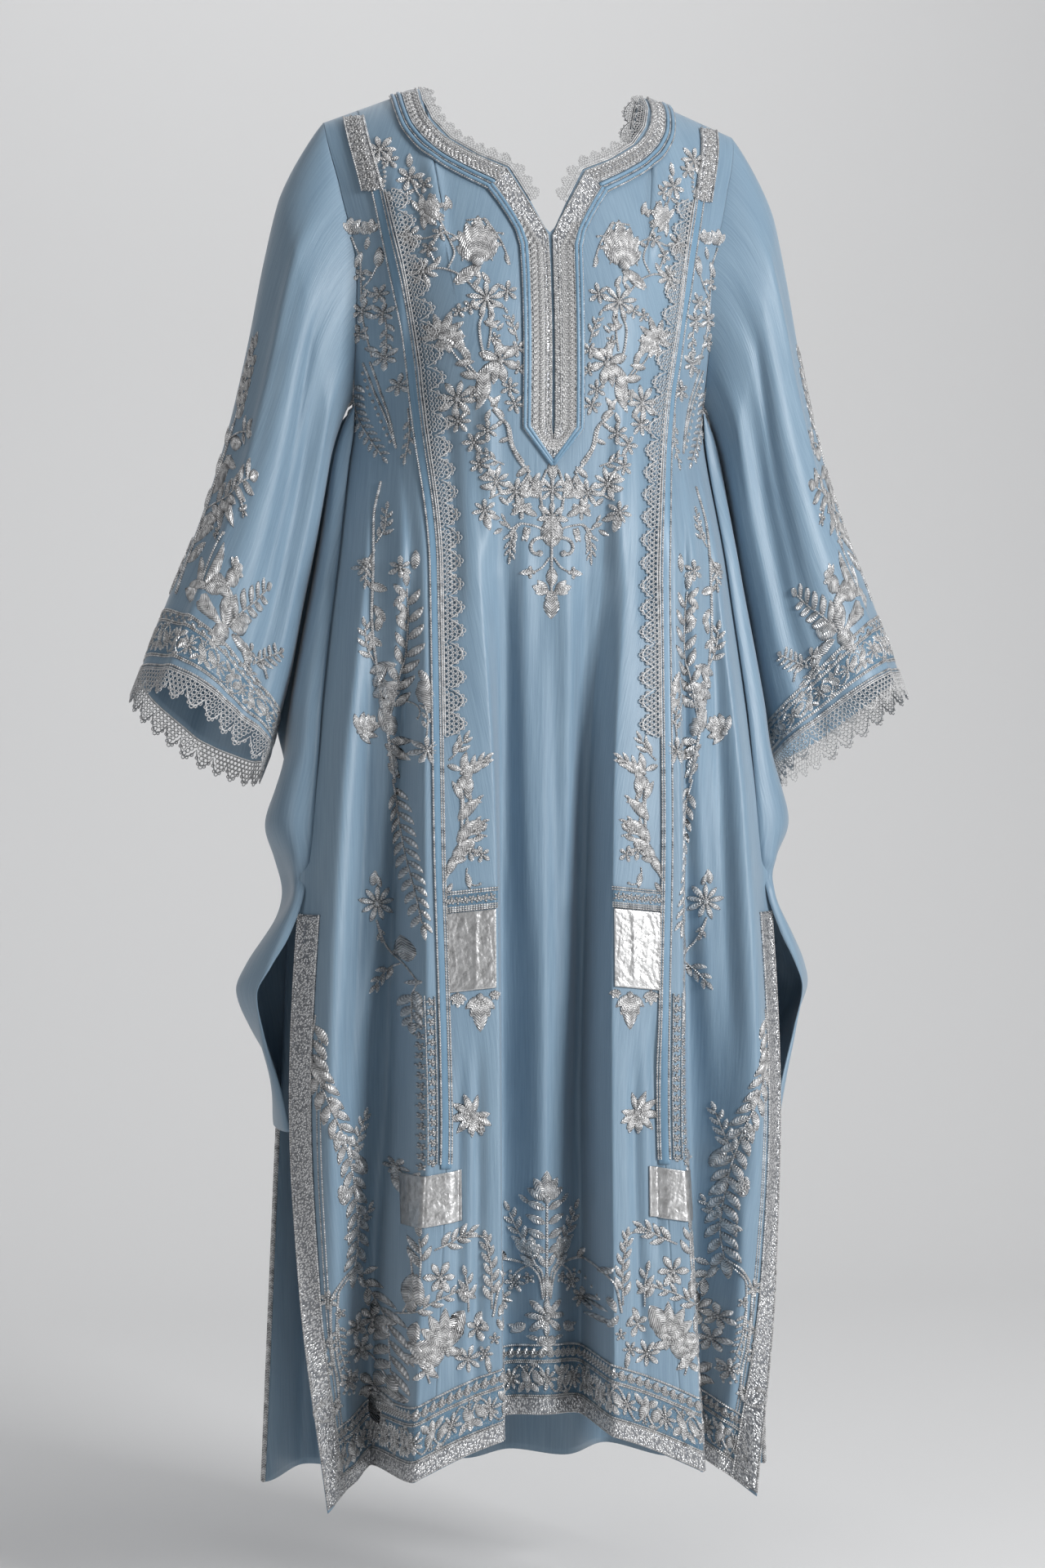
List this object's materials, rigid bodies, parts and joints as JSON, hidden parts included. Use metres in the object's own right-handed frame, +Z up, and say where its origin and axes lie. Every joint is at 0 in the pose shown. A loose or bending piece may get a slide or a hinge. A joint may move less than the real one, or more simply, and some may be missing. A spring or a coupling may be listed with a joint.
{
  "type": "kaftan kurti",
  "caption": "Long side-draped kurti with wide cuffed sleeves, notched neck with placket, side slits, lace trims, silver bands, patches and embroidered hem border.",
  "frame": {"origin": "midway between the two high points of the shoulders, where the wearer's shoulders hold the garment", "axes": "+Z up, the front faces -Y, +X to the viewer's right when the front is looked at"},
  "size_m": [0.675, 0.2782, 1.1971],
  "materials": {
    "silk": "pale sky-blue crinkled silk crepe with a soft sheen",
    "border": "blue silk woven and embroidered with silver scrolls",
    "zari": "matt silver metallic thread, closely couched",
    "foil": "crumpled silver tissue cloth with a metallic face",
    "lace": "silver-grey crocheted lace with small eyelets",
    "relief": "raised silver thread leaves and flowers"
  },
  "bodies": {
    "root": {"front_centre": "silk", "front_side_left": "silk", "front_side_right": "silk", "back": "silk", "side_drape_left": "silk", "side_drape_right": "silk", "sleeve_left": "silk", "sleeve_right": "silk", "cuff_band_left": "border", "cuff_band_right": "border", "upper_patch_heading_left": "border", "upper_patch_heading_right": "border", "front_hem_border": "border", "back_hem_border": "border", "shoulder_band_left": "zari", "shoulder_band_right": "zari", "princess_piping_left": "zari", "princess_piping_right": "zari", "neck_band_left": "zari", "neck_band_right": "zari", "placket_left": "zari", "placket_right": "zari", "front_slit_band_left": "zari", "front_slit_band_right": "zari", "back_slit_band_left": "zari", "back_slit_band_right": "zari", "front_hem_zari": "zari", "back_hem_zari": "zari", "upper_patch_left": "foil", "upper_patch_right": "foil", "lower_patch_left": "foil", "lower_patch_right": "foil", "cuff_lace_left": "lace", "cuff_lace_right": "lace", "princess_lace_left": "lace", "princess_lace_right": "lace", "neck_lace_left": "lace", "neck_lace_right": "lace", "neck_lace_back": "lace", "sleeve_spray_left": "relief", "chest_spray_left": "relief", "underarm_spray_left": "relief", "waist_spray_left": "relief", "hip_spray_left": "relief", "princess_spray_left": "relief", "slit_spray_left": "relief", "tube_spray_left": "relief", "sleeve_spray_right": "relief", "chest_spray_right": "relief", "underarm_spray_right": "relief", "waist_spray_right": "relief", "hip_spray_right": "relief", "princess_spray_right": "relief", "slit_spray_right": "relief", "tube_spray_right": "relief", "pendant_spray": "relief", "hem_spray": "relief"}
  },
  "joints": []
}
